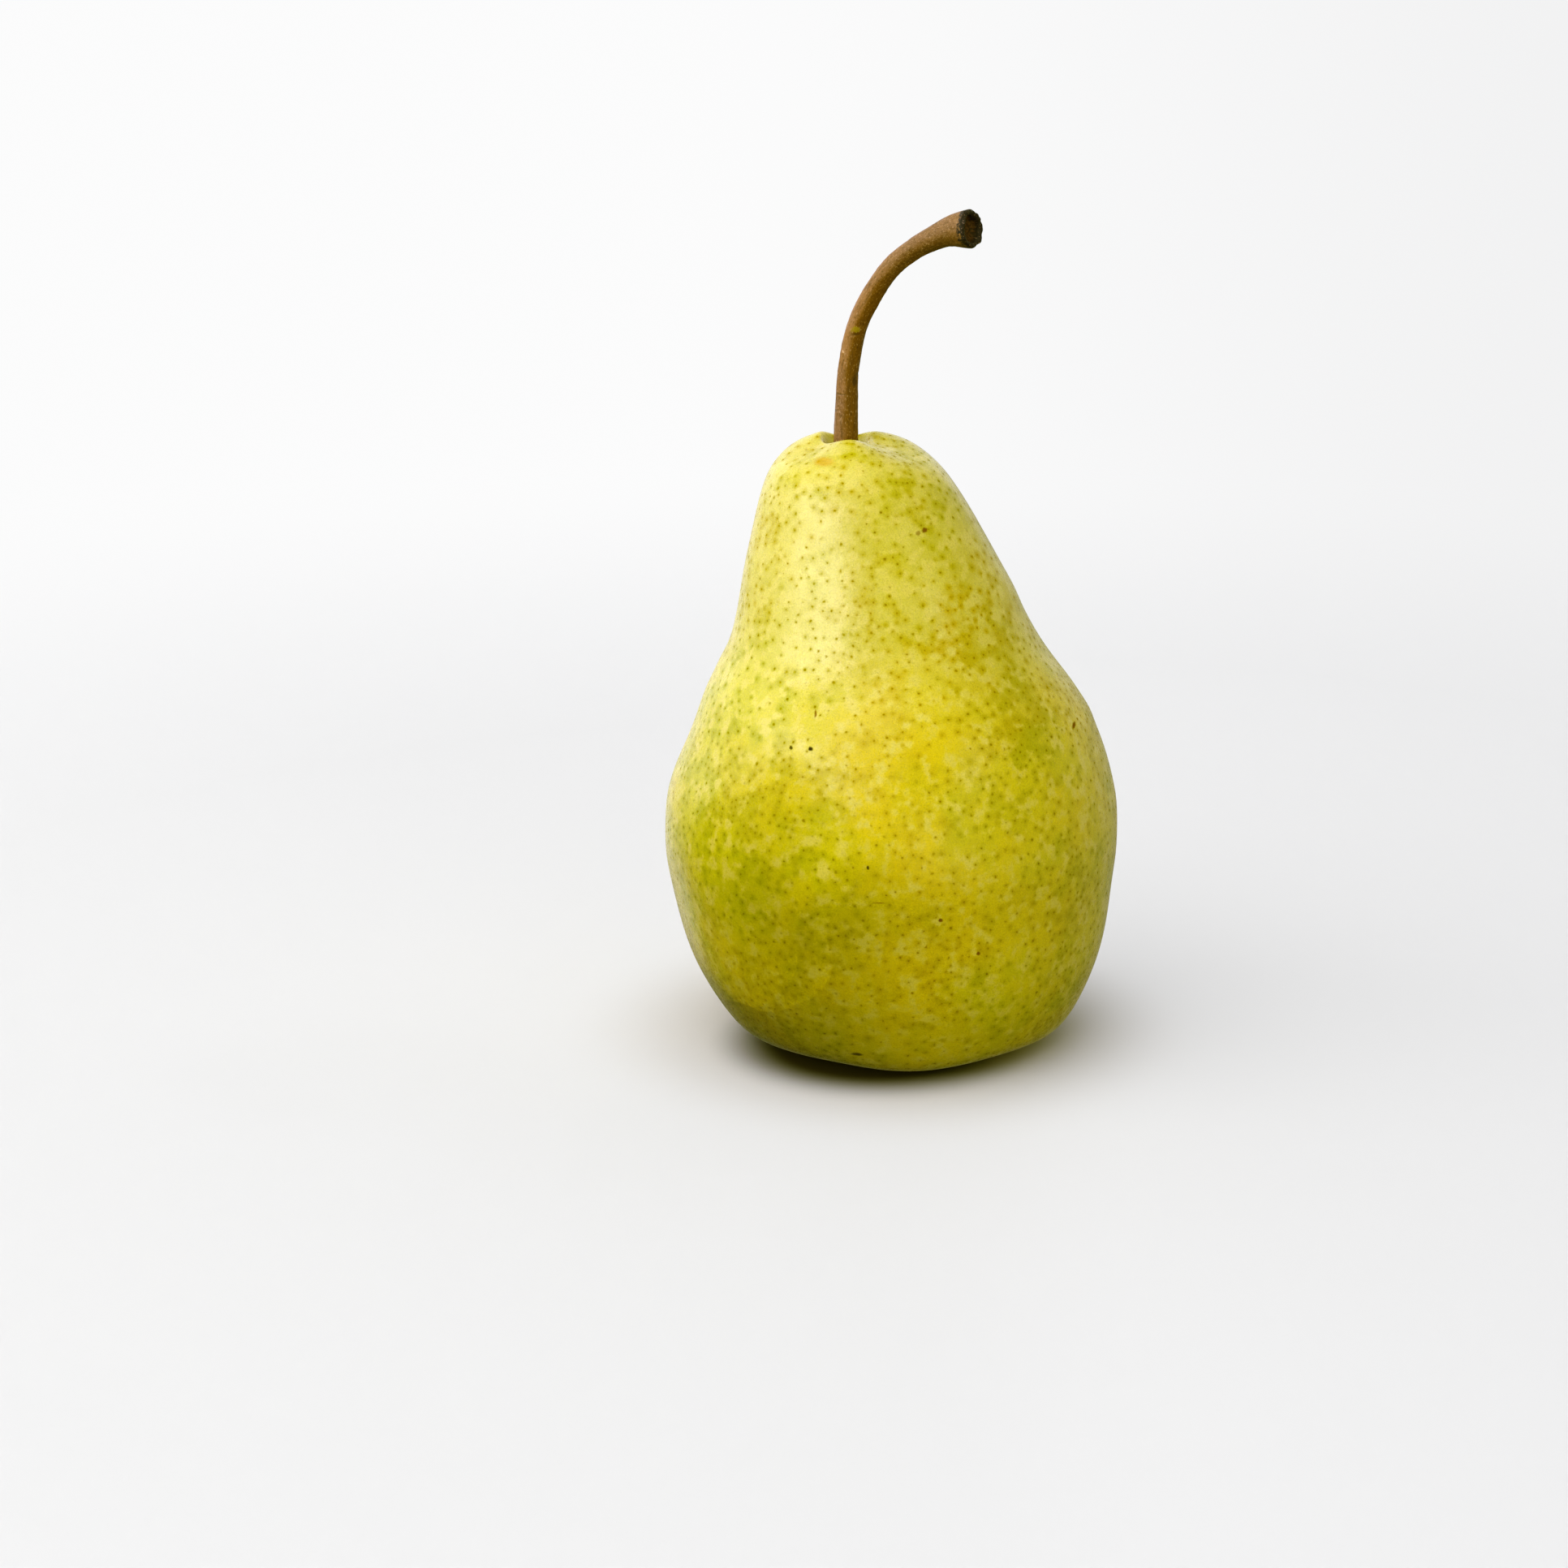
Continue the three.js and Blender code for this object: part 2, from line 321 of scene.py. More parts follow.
def freckle(mesh, vertices, faces):
    """Gives each face the places and traits of its nearest lenticels, which the skin's material draws."""
    rng = np.random.default_rng(SEED)
    points = scatter(vertices, faces, rng, LENTICEL_SPACING)
    points = points[rng.random(len(points)) < LENTICELS_KEPT]
    count = len(points)
    traits = np.empty((count, 4))
    traits[:, 0] = rng.uniform(*DOT_RADIUS, count) * (1 + 0.3 * (rng.random(count) > 0.92))
    traits[:, 1] = rng.beta(2.6, 1.0, count)  # how green its halo is
    traits[:, 2] = rng.uniform(*HALO_RADIUS, count)
    traits[:, 3] = rng.beta(2.0, 1.4, count)  # how dark its dot is
    tree = search_tree(points)
    middles = np.array([vertices[list(face)].mean(axis=0) for face in faces])
    nearest = np.array([[i for _, i, _ in tree.find_n(point, NEAREST)] for point in middles])
    for k in range(NEAREST):
        add_attribute(mesh, f"lenticel_{k}", "FLOAT_VECTOR", "FACE", points[nearest[:, k]])
        add_attribute(mesh, f"traits_{k}", "FLOAT_COLOR", "FACE", traits[nearest[:, k]])


NET_GREEN, NET_RIPE = (0.530, 0.468, 0.008), (0.61, 0.468, 0.004)
NET_PALE = (0.57, 0.500, 0.075)  # the upper part of the fruit, between its freckles
NET_CREAM = (0.62, 0.520, 0.085)  # lacy flecks all over it
HALO_GREEN, HALO_RIPE = (0.405, 0.372, 0.000), (0.490, 0.360, 0.000)
CORE_GREEN, CORE_RIPE = (0.27, 0.245, 0.000), (0.37, 0.255, 0.000)
DOT_GREEN, DOT_RIPE = (0.15, 0.095, 0.000), (0.21, 0.110, 0.000)
# Where the skin is riper (+) or greener (-): centre and reach in millimetres in the row frame.
ZONES = [
    ((1, -25, 53), (7, 14, 11), 0.45), ((-1, -32, 35), (10, 12, 9), 0.30),
    ((0, -31, 20), (12, 12, 10), 0.45), ((6, -14, 68), (6, 12, 9), 0.20),
    ((-24, -16, 45), (11, 18, 16), -0.35), ((-18, -27, 30), (12, 14, 9), -0.45),
    ((17, -24, 12), (12, 16, 10), -0.35), ((3, -13, 80), (6, 8, 5), -0.30),
    ((-22, -6, 60), (8, 14, 12), -0.20),
]
# Where the halos fade (+) or cover more of the skin (-): centre, reach, and by what share.
BARE = [
    ((-9, -14, 66), (10, 14, 14), 0.45), ((1, -16, 78), (8, 10, 6), 0.2),
    ((20, -18, 52), (9, 10, 9), -0.9), ((12, -12, 64), (6, 8, 8), -0.3),
    ((-2, -32, 34), (9, 12, 8), 0.3), ((-22, -14, 53), (10, 14, 10), -0.5),
]
# Where the skin's tone is paler (+) or deeper (-), whatever its colour: centre, reach, and by what share.
# The last, at the lower left front, is painted shade.
TONES_AND_PAINTED_SHADE = [
    ((17, -19, 56), (8, 8, 8), -0.15), ((0, -32, 38), (9, 10, 8), 0.09),
    ((-14, -28, 21), (10, 10, 9), -0.18),
]
# Small marks on the skin: centre, reach in millimetres, colour, strength.
RUSSET, SCAB, BROWN = (0.50, 0.24, 0.02), (0.035, 0.022, 0.012), (0.16, 0.05, 0.008)
MARKS = [
    ((-9.8, -7.7, 85.7), (1.7, 2.2, 0.6), RUSSET, 0.55), ((4.3, -12.2, 77.0), (0.40, 3, 0.36), BROWN, 0.9),
    ((3.4, -12.9, 76.7), (0.35, 3, 0.30), BROWN, 0.6), ((6.9, -31.1, 26.3), (0.36, 3, 0.30), BROWN, 0.95),
    ((12.2, -28.9, 20.9), (0.30, 3, 0.30), BROWN, 0.9), ((-13.8, -24.1, 49.1), (0.26, 3, 0.26), SCAB, 0.9),
    ((-11.1, -25.3, 49.2), (0.34, 3, 0.32), SCAB, 1.0), ((25.6, -11.5, 49.1), (0.30, 3, 0.40), BROWN, 0.9),
    ((-3.1, -32.0, 34.1), (0.24, 3, 0.26), SCAB, 0.9), ((-10.5, -23.2, 53.5), (0.18, 3, 0.55), BROWN, 0.8),
    ((-1.5, -32.2, 29.1), (0.95, 3, 0.12), BROWN, 0.6), ((-4.5, -25.0, 4.5), (0.9, 1.5, 0.30), SCAB, 0.85),
]


def lenticels(g, place):
    """How much the halos of the nearest lenticels, their inner rings and their dots colour each place."""
    halo, rim, dot = 0.0, 0.0, 0.0
    for k in range(NEAREST):
        traits = g.node("Attribute", attribute_name=f"traits_{k}")
        radius, green, reach = g.node("SeparateColor", {0: traits.outputs["Color"]}).outputs
        away = g.vector("DISTANCE", place, g.attribute(f"lenticel_{k}"))
        near = g.math("DIVIDE", away, reach)
        halo = g.math("ADD", halo, g.math("MULTIPLY", g.bell(near), green))
        rim = g.math("MAXIMUM", rim, g.math("MULTIPLY", g.bell(near, sharpness=4.0), green))
        inside = g.bell(g.math("DIVIDE", away, radius))
        dot = g.math("MAXIMUM", dot, g.math("MULTIPLY", inside, traits.outputs["Alpha"]))
    return halo, rim, dot


def ripeness(g, place, patches):
    """From 0 where the skin is green to 1 where it is golden."""
    clouds = g.noise(place, 12.0, detail=3.0, roughness=0.55)
    ripe = g.ramp(clouds, 0.32, 0.68, 0.2, 0.8)
    for centre, reach, change in ZONES:
        ripe = g.math("ADD", ripe, g.math("MULTIPLY", g.spot(place, centre, reach), change))
    return g.math("ADD", ripe, g.ramp(patches, 0.3, 0.7, -0.12, 0.12), clamp=True)


def green_cover(g, place, halo, ripe, patches, fleck, grain):
    """How much of the skin the green between and round the dots covers; the rest is the paler net."""
    cover = g.math("MULTIPLY", halo, g.ramp(ripe, 0.0, 1.0, 1.40, 1.20))
    cover = g.math("ADD", cover, g.ramp(patches, 0.3, 0.7, 0.45, -0.15))
    cover = g.math("SUBTRACT", cover, g.ramp(fleck, 0.45, 0.72, 0.0, 0.75))
    cover = g.math("ADD", cover, g.ramp(grain, 0.25, 0.75, -0.12, 0.12), clamp=True)
    for centre, reach, barer in BARE:
        lost = g.math("MULTIPLY", g.spot(place, centre, reach), barer)
        cover = g.math("MULTIPLY", cover, g.math("SUBTRACT", 1.0, lost))
    return cover


def tone_and_painted_shade(g, place):
    """How pale or deep the skin is, whatever its colour: pores, a fine grain and a few broad places, one of
    them painted shade at the lower left front.
    """
    pore = g.node("TexVoronoi", {"Vector": place, "Scale": 2.6, "Randomness": 1.0}).outputs["Distance"]
    fine = g.noise(place, 0.17, detail=1.0, roughness=0.5)
    tone_and_shade = g.math("MULTIPLY", g.ramp(pore, 0.10, 0.42, 0.86, 1.0), g.ramp(fine, 0.25, 0.75, 0.90, 1.10))
    # These broad places include painted shade at the lower left front.
    for centre, reach, change in TONES_AND_PAINTED_SHADE:
        tone_and_shade = g.math("MULTIPLY", tone_and_shade, g.math("MULTIPLY_ADD", g.spot(place, centre, reach), change, 1.0))
    return tone_and_shade


def skin_material():
    g = Graph(bpy.data.materials.new("pear_skin"))
    place = g.place_mm()
    wobble = g.node("TexNoise", {"Vector": place, "Scale": 2.2, "Detail": 1.0}).outputs["Color"]
    wobble = g.vector("MULTIPLY", g.vector("SUBTRACT", wobble, (0.5, 0.5, 0.5)), (0.25, 0.25, 0.25))
    ragged = g.vector("ADD", place, wobble)
    patches = g.noise(place, 4.5, detail=2.0, roughness=0.5)
    fleck = g.noise(ragged, 2.0, detail=2.0, roughness=0.55)
    grain = g.noise(place, 0.5, detail=2.0, roughness=0.6)
    halo, rim, dot = lenticels(g, ragged)
    ripe = ripeness(g, place, patches)
    cover = green_cover(g, place, halo, ripe, patches, fleck, grain)

    height = g.node("SeparateXYZ", {0: place}).outputs["Z"]
    net = g.mix(g.ramp(height, 47.0, 67.0, 0.0, 0.85), g.mix(ripe, NET_GREEN, NET_RIPE), NET_PALE)
    net = g.mix(g.ramp(fleck, 0.46, 0.72, 0.0, 0.85), net, NET_CREAM)
    colour = g.mix(cover, net, g.mix(ripe, HALO_GREEN, HALO_RIPE))
    colour = g.mix(g.math("MULTIPLY", rim, 0.42), colour, g.mix(ripe, CORE_GREEN, CORE_RIPE))
    colour = g.mix(dot, colour, g.mix(ripe, DOT_GREEN, DOT_RIPE))
    corky = g.math("MULTIPLY_ADD", dot, 1.2, g.math("MULTIPLY", rim, 0.35))
    corky = g.math("MULTIPLY_ADD", cover, 0.18, corky)
    for centre, reach, stain, amount in MARKS:
        spot = g.math("MULTIPLY", g.ramp(g.spot(ragged, centre, reach), 0.15, 0.75), amount)
        colour = g.mix(spot, colour, stain)
        corky = g.math("ADD", corky, spot, clamp=True)

    g.feed(g.shader.inputs["Base Color"], g.vector("SCALE", colour, tone_and_painted_shade(g, place)))
    g.feed(g.shader.inputs["Specular IOR Level"], g.ramp(corky, 0.0, 1.0, 0.5, 0.0))
    waxy = g.ramp(grain, 0.2, 0.8, 0.24, 0.34)
    g.feed(g.shader.inputs["Roughness"], g.ramp(corky, 0.2, 1.0, waxy, 0.7))
    g.shader.inputs["IOR"].default_value = 1.46
    g.shader.inputs["Subsurface Weight"].default_value = 0.1
    g.shader.inputs["Subsurface Radius"].default_value = (0.0012, 0.0008, 0.0002)
    g.shader.inputs["Subsurface Scale"].default_value = 1.0
    pores = g.noise(place, 0.36, detail=2.0, roughness=0.6)
    peel = g.noise(place, 0.9, detail=1.0)
    relief = g.math("ADD", g.math("MULTIPLY", pores, 0.7), g.math("MULTIPLY", peel, 1.1))
    relief = g.math("SUBTRACT", relief, g.math("MULTIPLY", dot, 0.3))
    g.bump(relief, strength=0.45, depth=0.06 * MM)
    return g.owner


# Lumps of the skin: centre and reach in millimetres in the row frame, and height.
LUMPS = [
    ((28.3, -3.5, 48.6), (4, 7, 1.9), 0.28), ((17.0, -2.5, 66.5), (4, 6, 2.6), 0.25),
    ((-24.8, -3, 55.9), (4, 6, 1.8), 0.24), ((31, -6, 19.5), (4, 8, 6), 0.22),
    ((-31.5, -6, 38.9), (4, 8, 4.5), 0.15), ((11, -4, 77), (4, 6, 3.5), 0.12),
    ((-13.2, -25.0, 46.5), (6.5, 7, 8), 0.85),
]
BOX_MARGIN, HELD_IN = 0.15, 0.05  # by how much the skin is kept inside the CAD box, and how softly


def make_skin():
    share = np.arange(1, SKIN_RINGS) / SKIN_RINGS
    angle = 2 * math.pi * np.arange(SKIN_SIDES) / SKIN_SIDES
    grid_share, grid_angle = (a.ravel() for a in np.meshgrid(share, angle, indexing="ij"))
    rings = on_fruit(grid_share, grid_angle).reshape(SKIN_RINGS - 1, SKIN_SIDES, 3)
    poles = on_fruit(np.array([0.0, 1.0]), np.zeros(2))
    vertices, faces = closed_skin(rings, poles[0], poles[1])
    vertices = dent(vertices) + SHIFT
    piece = make_piece("pear_skin_and_flesh", vertices, faces, "pear_fruit")
    freckle(piece.data, vertices, faces)
    line = np.stack(outline(np.arange(SKIN_RINGS + 1) / SKIN_RINGS), axis=-1)
    reached = np.cumsum(np.linalg.norm(np.diff(line, axis=0), axis=1))
    add_bake_map(piece.data, reached[:-1] / reached[-1], SKIN_SIDES)
    piece.data.materials.append(skin_material())
    return piece


def dent(vertices):
    """Slow shallow dents and lumps, as fruit grown in the open has, held inside the CAD solid's width."""
    middle = np.stack([*core(vertices[:, 2]), vertices[:, 2]], axis=-1)
    out = vertices - middle
    reach = np.linalg.norm(out[:, :2], axis=1)
    rise = 0.13 * value_noise(vertices, 13, SEED + 2) + 0.05 * value_noise(vertices, 6, SEED + 3)
    for centre, spread, high in LUMPS:
        rise += high * np.exp(-(((vertices + SHIFT - centre) / spread) ** 2).sum(axis=-1))
    rise *= smoothstep(reach, 6, 16)
    out[:, :2] *= (1 + rise / np.maximum(reach, 1))[:, None]
    dented = middle + out + SHIFT
    for axis in (0, 1):
        limit = CAD_BOX[1][axis] / MM - BOX_MARGIN
        for sign in (-1, 1):
            dented[:, axis] -= sign * HELD_IN * np.logaddexp(0, (sign * dented[:, axis] - limit) / HELD_IN)
    return dented - SHIFT


# ---- Stalk ----
# The bark's colours in a painted lit copy and a painted shade copy: each point takes more of the lit one the
# more it faces the light's side.
BARK_PAINTED_LIT, BARK_PAINTED_SHADE = (0.285, 0.132, 0.046), (0.155, 0.062, 0.004)
FOOT_PAINTED_LIT, FOOT_PAINTED_SHADE = (0.210, 0.098, 0.044), (0.140, 0.056, 0.003)
BARK_OLD = (0.120, 0.056, 0.026)  # towards the broken end
GRAIN_DARK, WRINKLE_PALE = (0.075, 0.032, 0.012), (0.42, 0.24, 0.09)
SPECK_PALE, SPECK_DARK = (0.42, 0.25, 0.13), (0.055, 0.022, 0.006)
CHAR, CRUST = (0.014, 0.008, 0.015), (0.30, 0.18, 0.13)  # the broken end's black rim, and crumbs on it
PITH_DARK, PITH_PALE = (0.022, 0.009, 0.010), (0.105, 0.042, 0.022)
FLAKE, PALE_CORK, DARK_BARK = (0.34, 0.26, 0.010), (0.60, 0.36, 0.17), (0.050, 0.022, 0.010)
# Scars and marks: centre and reach in millimetres in the row frame, how deep they cut, colour, strength.
SCARS = [
    ((-5.5, -1.5, 103.3), (0.70, 0.8, 0.42), -0.04, FLAKE, 0.6),
    ((-5.5, -1.5, 102.6), (0.5, 0.8, 0.16), 0.06, DARK_BARK, 0.6),
    ((-7.3, -0.5, 100.0), (0.20, 0.5, 0.22), -0.03, PALE_CORK, 0.9),
    ((-7.9, -0.3, 94.0), (1.3, 1.3, 0.12), 0.05, DARK_BARK, 0.5),
    ((-7.9, -0.2, 93.0), (0.8, 1.2, 0.7), 0.06, DARK_BARK, 0.15),
    ((-5.7, -0.3, 95.9), (0.38, 0.8, 0.75), 0.04, DARK_BARK, 0.75),
    ((-5.2, 0.2, 96.8), (0.35, 0.8, 0.25), 0.08, DARK_BARK, 0.7),
    ((-8.3, 0.1, 91.6), (0.3, 0.6, 0.20), 0.05, DARK_BARK, 0.5),
    ((-2.2, -3.2, 110.0), (0.30, 0.5, 0.25), 0.04, DARK_BARK, 0.4),
    ((3.0, -8.6, 116.4), (0.5, 0.6, 0.30), 0.04, DARK_BARK, 0.35),
]
PAINTED_LIGHT_SIDE = np.array([-0.80, -0.25, 0.54])  # the side of the stalk that is painted lit; the far side is painted shade
BARK_RELIEF = 0.06  # how far the bark lies inside the CAD solid on the whole
RIM_WIDTH, RIM_SUNK = 0.4, 0.12  # the rounded edge of the broken end
TORN_IN, TORN_DOWN = 0.08, 0.25  # how far the tears of the broken end reach
# The broken end from the bark's edge inward: share of the knob's radius, and how far it is sunk.
BROKEN_END = [
    (0.94, 0.03), (0.88, 0.0), (0.80, 0.05), (0.73, 0.25), (0.69, 0.6),
    (0.62, 0.95), (0.48, 1.15), (0.30, 1.1), (0.15, 1.25),
]
END_RINGS = 26
PITH_FROM_END = -3  # what the middle of the pith counts as its distance from the end


def stalk_line(shares):
    """The centre line in its own upright plane: (along, up) at each share of its length, and the length.

    It is a centripetal Catmull-Rom curve, worked out in the three levels of Barry and Goldman's scheme.
    """
    points = np.array(STALK_LINE, float)
    points = np.vstack([2 * points[0] - points[1], points, 2 * points[-1] - points[-2]])
    dense = []
    for i in range(1, len(points) - 2):
        nearby = points[i - 1 : i + 3]
        knots = np.concatenate([[0], np.cumsum(np.linalg.norm(np.diff(nearby, axis=0), axis=1) ** 0.5)])
        for t in np.linspace(knots[1], knots[2], 60, endpoint=False):
            layer = list(nearby)
            for level in (1, 2, 3):
                for j in range(4 - level):
                    low, high = (j, j + level) if level < 3 else (1, 2)
                    w = (t - knots[low]) / (knots[high] - knots[low])
                    layer[j] = (1 - w) * layer[j] + w * layer[j + 1]
            dense.append(layer[0])
    dense = np.array(dense + [points[-2]])
    along = np.concatenate([[0], np.cumsum(np.linalg.norm(np.diff(dense, axis=0), axis=1))])
    wanted = shares * along[-1]
    return np.stack([np.interp(wanted, along, dense[:, k]) for k in (0, 1)], axis=-1), along[-1]


def bark_depth(straight, points):
    """How far the bark is cut in at each point: ridges that run along the stalk, wrinkles and scars."""
    drawn_out = straight * (1, 1, 0.22)
    depth = BARK_RELIEF + 0.025 * value_noise(straight, 4, SEED + 5)
    depth += 0.03 * value_noise(drawn_out, 0.9, SEED + 6)
    depth += 0.015 * value_noise(straight * (1, 1, 0.6), 0.4, SEED + 7)
    for centre, reach, cut, _, _ in SCARS:
        depth += cut * np.exp(-(((points - centre) / reach) ** 2).sum(axis=-1))
    return depth


def wrinkles(g, straight, from_foot, ragged):
    """The net of fine creases in the bark, strongest in its bent part."""
    swirl = g.node("TexNoise", {"Vector": straight, "Scale": 1.6, "Detail": 2.0}).outputs["Color"]
    swirl = g.vector("MULTIPLY", swirl, (0.9, 0.9, 0.9))
    bent = g.vector("ADD", g.vector("MULTIPLY", straight, (1.0, 1.0, 0.5)), swirl)
    web = g.node("TexVoronoi", {"Vector": bent, "Scale": 3.0}, feature="DISTANCE_TO_EDGE")
    crease = g.ramp(web.outputs["Distance"], 0.0, 0.16, 1.0, 0.0)
    crease = g.math("MULTIPLY", crease, g.ramp(from_foot, 26.0, 38.0, 0.05, 0.8))
    return g.math("MULTIPLY", crease, g.ramp(ragged, 0.42, 0.62))


def bark_material():
    g = Graph(bpy.data.materials.new("stalk_bark"))
    place = g.place_mm()
    straight = g.attribute("straight")
    sun = g.attribute("sun", "Fac")
    from_foot = g.node("SeparateXYZ", {0: straight}).outputs["Z"]
    from_end = g.attribute("from_end", "Fac")

    grain = g.noise(g.vector("MULTIPLY", straight, (1.0, 1.0, 0.16)), 0.42, detail=4.0, roughness=0.6)
    blotch = g.noise(g.vector("MULTIPLY", straight, (1.0, 1.0, 0.4)), 1.8, detail=2.0)
    speck = g.noise(g.vector("MULTIPLY", straight, (1.0, 1.0, 0.6)), 0.20, detail=1.0, roughness=0.5)
    ragged = g.noise(straight, 0.55, detail=3.0, roughness=0.65)

    # Painted light and shade: the bark is lighter on the side that faces the light and darker on the far
    # side.
    painted_lit = g.ramp(g.math("ADD", sun, g.ramp(blotch, 0.3, 0.7, -0.12, 0.12)), 0.15, 0.65)
    upper = g.mix(painted_lit, BARK_PAINTED_SHADE, BARK_PAINTED_LIT)
    lower = g.mix(painted_lit, FOOT_PAINTED_SHADE, FOOT_PAINTED_LIT)
    height = g.math("ADD", from_foot, g.ramp(blotch, 0.3, 0.7, -1.5, 1.5))
    colour = g.mix(g.ramp(height, 13.0, 19.0), lower, upper)
    colour = g.mix(g.ramp(from_foot, 26.0, 42.0, 0.0, 0.55), colour, BARK_OLD)
    colour = g.mix(g.ramp(grain, 0.46, 0.72, 0.0, 0.65), colour, GRAIN_DARK)
    wrinkled = wrinkles(g, straight, from_foot, ragged)
    colour = g.mix(g.math("MULTIPLY", wrinkled, 0.55), colour, WRINKLE_PALE)
    colour = g.mix(g.ramp(speck, 0.58, 0.74, 0.0, 0.6), colour, SPECK_PALE)
    colour = g.mix(g.ramp(speck, 0.42, 0.28, 0.0, 0.6), colour, SPECK_DARK)
    for centre, reach, _, stain, amount in SCARS:
        torn = g.math("ADD", g.spot(place, centre, reach), g.ramp(ragged, 0.3, 0.7, -0.22, 0.22))
        colour = g.mix(g.math("MULTIPLY", g.ramp(torn, 0.2, 0.6), amount), colour, stain)
    edge = g.math("ADD", from_end, g.ramp(ragged, 0.3, 0.7, -0.55, 0.55))
    charred = g.ramp(edge, 1.05, 0.80)
    crust = g.mix(g.ramp(speck, 0.62, 0.74, 0.0, 0.6), CHAR, CRUST)
    pith = g.mix(g.ramp(ragged, 0.35, 0.7), PITH_DARK, PITH_PALE)
    colour = g.mix(charred, colour, g.mix(g.ramp(from_end, -1.0, -1.5), crust, pith))

    g.feed(g.shader.inputs["Base Color"], colour)
    g.feed(g.shader.inputs["Roughness"], g.ramp(grain, 0.3, 0.7, 0.42, 0.60))
    g.shader.inputs["Specular IOR Level"].default_value = 0.22
    relief = g.math("ADD", g.math("MULTIPLY", speck, 0.5), g.math("MULTIPLY", grain, -0.8))
    relief = g.math("ADD", relief, g.math("MULTIPLY", wrinkled, 0.7))
    relief = g.math("ADD", relief, g.math("MULTIPLY", g.math("MULTIPLY", ragged, charred), 2.0))
    g.bump(relief, strength=0.6, depth=0.08 * MM)
    return g.owner


def stalk_radius(from_foot, length):
    """The bark's radius: thicker at the foot, flared towards the broken end and rounded at its rim."""
    foot = (FOOT_RADIUS - STALK_RADIUS) * (1 - smoothstep(from_foot, 6, 22))
    knob = (KNOB_RADIUS - STALK_RADIUS) * np.exp(-(((length - from_foot) / KNOB_REACH) ** 1.6))
    rounded = 1 - 0.03 * np.clip(1 - (length - from_foot) / RIM_WIDTH, 0, 1) ** 2
    return (STALK_RADIUS + foot + knob) * rounded


def broken_end(rim_radius):
    """Rings from the rim inward and down into the pith: how far along, their radius, and how far sunk."""
    share, sunk = np.array([(rim_radius / KNOB_RADIUS, RIM_SUNK), *BROKEN_END]).T
    steps = np.hypot(np.diff(share) * KNOB_RADIUS, np.diff(sunk))
    reached = np.concatenate([[0], np.cumsum(steps)])
    inward = np.linspace(0, reached[-1], END_RINGS + 1)[1:]
    return inward, KNOB_RADIUS * np.interp(inward, reached, share), np.interp(inward, reached, sunk)


def tear(straight):
    """How much the wood is torn at each point of the broken end, mostly from 0 to 1.5."""
    coarse, fine = value_noise(straight, 1.1, SEED + 8), value_noise(straight, 0.45, SEED + 9)
    return (1 + coarse) / 2 + 0.5 * (1 + fine) / 2


def stalk_course(line):
    """Where the line runs, the way out to its side, the way up off it in its plane, and the way it ends."""
    tangent = np.gradient(line, axis=0)
    tangent /= np.linalg.norm(tangent, axis=1)[:, None]
    towards = math.radians(STALK_TOWARDS)
    plane = np.array([math.cos(towards), math.sin(towards), 0])
    side = np.array([-math.sin(towards), math.cos(towards), 0])
    up = np.array([0, 0, 1.0])
    middle = STALK_FOOT + line[:, :1] * plane + line[:, 1:] * up
    above = -tangent[:, 1:] * plane + tangent[:, :1] * up
    return middle, side, above, tangent[-1, 0] * plane + tangent[-1, 1] * up


def make_stalk():
    shares = np.linspace(0, 1, STALK_RINGS + 1)
    line, length = stalk_line(shares)
    middle, side, above, forward = stalk_course(line)

    # The rings of the bark, and then those of the broken end, which all stand where the bark ends.
    from_foot = shares * length
    bark_radius = stalk_radius(from_foot, length)
    inward, end_radius, end_sunk = broken_end(bark_radius[-1])
    stands_at = np.minimum(np.arange(STALK_RINGS + 1 + END_RINGS), STALK_RINGS)
    radius = np.concatenate([bark_radius, end_radius])
    sunk = np.concatenate([RIM_SUNK * smoothstep(from_foot, length - RIM_WIDTH, length), end_sunk])
    from_end = np.concatenate([length - from_foot, -inward])

    # The same rings as points on the bent stalk, and as places on a straight one, which the bark follows.
    angle = 2 * math.pi * np.arange(STALK_SIDES) / STALK_SIDES
    turn = np.stack([np.cos(angle), np.sin(angle)], axis=-1)
    spoke = turn[None, :, :1] * side + turn[None, :, 1:] * above[stands_at][:, None]
    points = middle[stands_at][:, None] + radius[:, None, None] * spoke + SHIFT
    one_each = (*points.shape[:2], 1)
    heights = np.broadcast_to(from_foot[stands_at][:, None, None], one_each)
    straight = np.concatenate([radius[:, None, None] * turn, heights], axis=-1).reshape(-1, 3)

    depth = bark_depth(straight, points.reshape(-1, 3)).reshape(one_each)
    depth *= np.minimum(1, radius / STALK_RADIUS)[:, None, None]
    torn = tear(straight).reshape(one_each)
    on_end = smoothstep(from_end, 0.9, 0)[:, None, None]
    points = points - (depth + TORN_IN * torn * on_end) * spoke
    points = points - (sunk[:, None, None] + TORN_DOWN * torn * on_end) * forward
    vertices, faces = closed_skin(points, points[0].mean(axis=0), points[-1].mean(axis=0))

    piece = make_piece("pear_stalk_bark", vertices, faces, "pear_stalk")
    straight = np.vstack([[0, 0, 0], straight, [0, 0, length]])
    # How much each point faces the light, which the bark's painted light and shade follow.
    painted_light_facing = np.concatenate([[0], (spoke @ PAINTED_LIGHT_SIDE).ravel(), [0]])
    from_end = np.concatenate([[length], np.repeat(from_end, STALK_SIDES), [PITH_FROM_END]])
    add_attribute(piece.data, "straight", "FLOAT_VECTOR", "POINT", straight)
    add_attribute(piece.data, "sun", "FLOAT", "POINT", painted_light_facing)
    add_attribute(piece.data, "from_end", "FLOAT", "POINT", from_end)
    reached = radius[0] + np.concatenate([from_foot, length + inward])
    add_bake_map(piece.data, reached / (reached[-1] + radius[-1]), STALK_SIDES)
    piece.data.materials.append(bark_material())
    return piece


